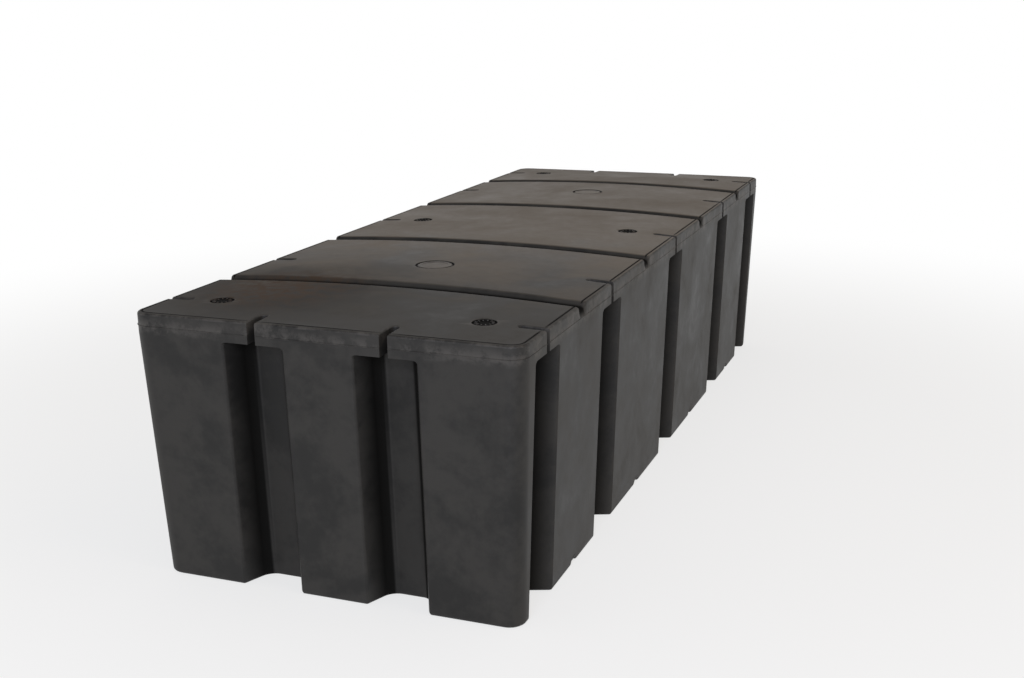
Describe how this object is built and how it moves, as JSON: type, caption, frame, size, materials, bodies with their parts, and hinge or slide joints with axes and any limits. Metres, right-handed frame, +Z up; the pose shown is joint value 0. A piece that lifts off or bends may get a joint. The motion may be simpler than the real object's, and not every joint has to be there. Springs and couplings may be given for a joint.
{
  "type": "dock float drum",
  "caption": "Long black moulded polyethylene dock float drum, foam filled, with slotted flange, fluted sides, strap grooves across the crowned deck and spin-welded plugs.",
  "frame": {"origin": "middle of the foot, on the surface that the drum stands on", "axes": "+Z up through the deck; Y runs the length of the drum with the end nearest the picture's viewer toward -Y; +X to the right seen from that end"},
  "size_m": [0.9144, 2.4384, 0.6353],
  "materials": {
    "black_polyethylene": "satin rotationally moulded polyethylene, softly wavy, with light scuffs",
    "black_plug_polyethylene": "satin injection moulded polyethylene, spin-welded in place"
  },
  "bodies": {
    "root": {"drum_shell": "black_polyethylene", "large_plug_1": "black_plug_polyethylene", "large_plug_2": "black_plug_polyethylene", "small_plug_1": "black_plug_polyethylene", "small_plug_2": "black_plug_polyethylene", "small_plug_3": "black_plug_polyethylene", "small_plug_4": "black_plug_polyethylene", "small_plug_5": "black_plug_polyethylene", "small_plug_6": "black_plug_polyethylene"}
  },
  "joints": []
}
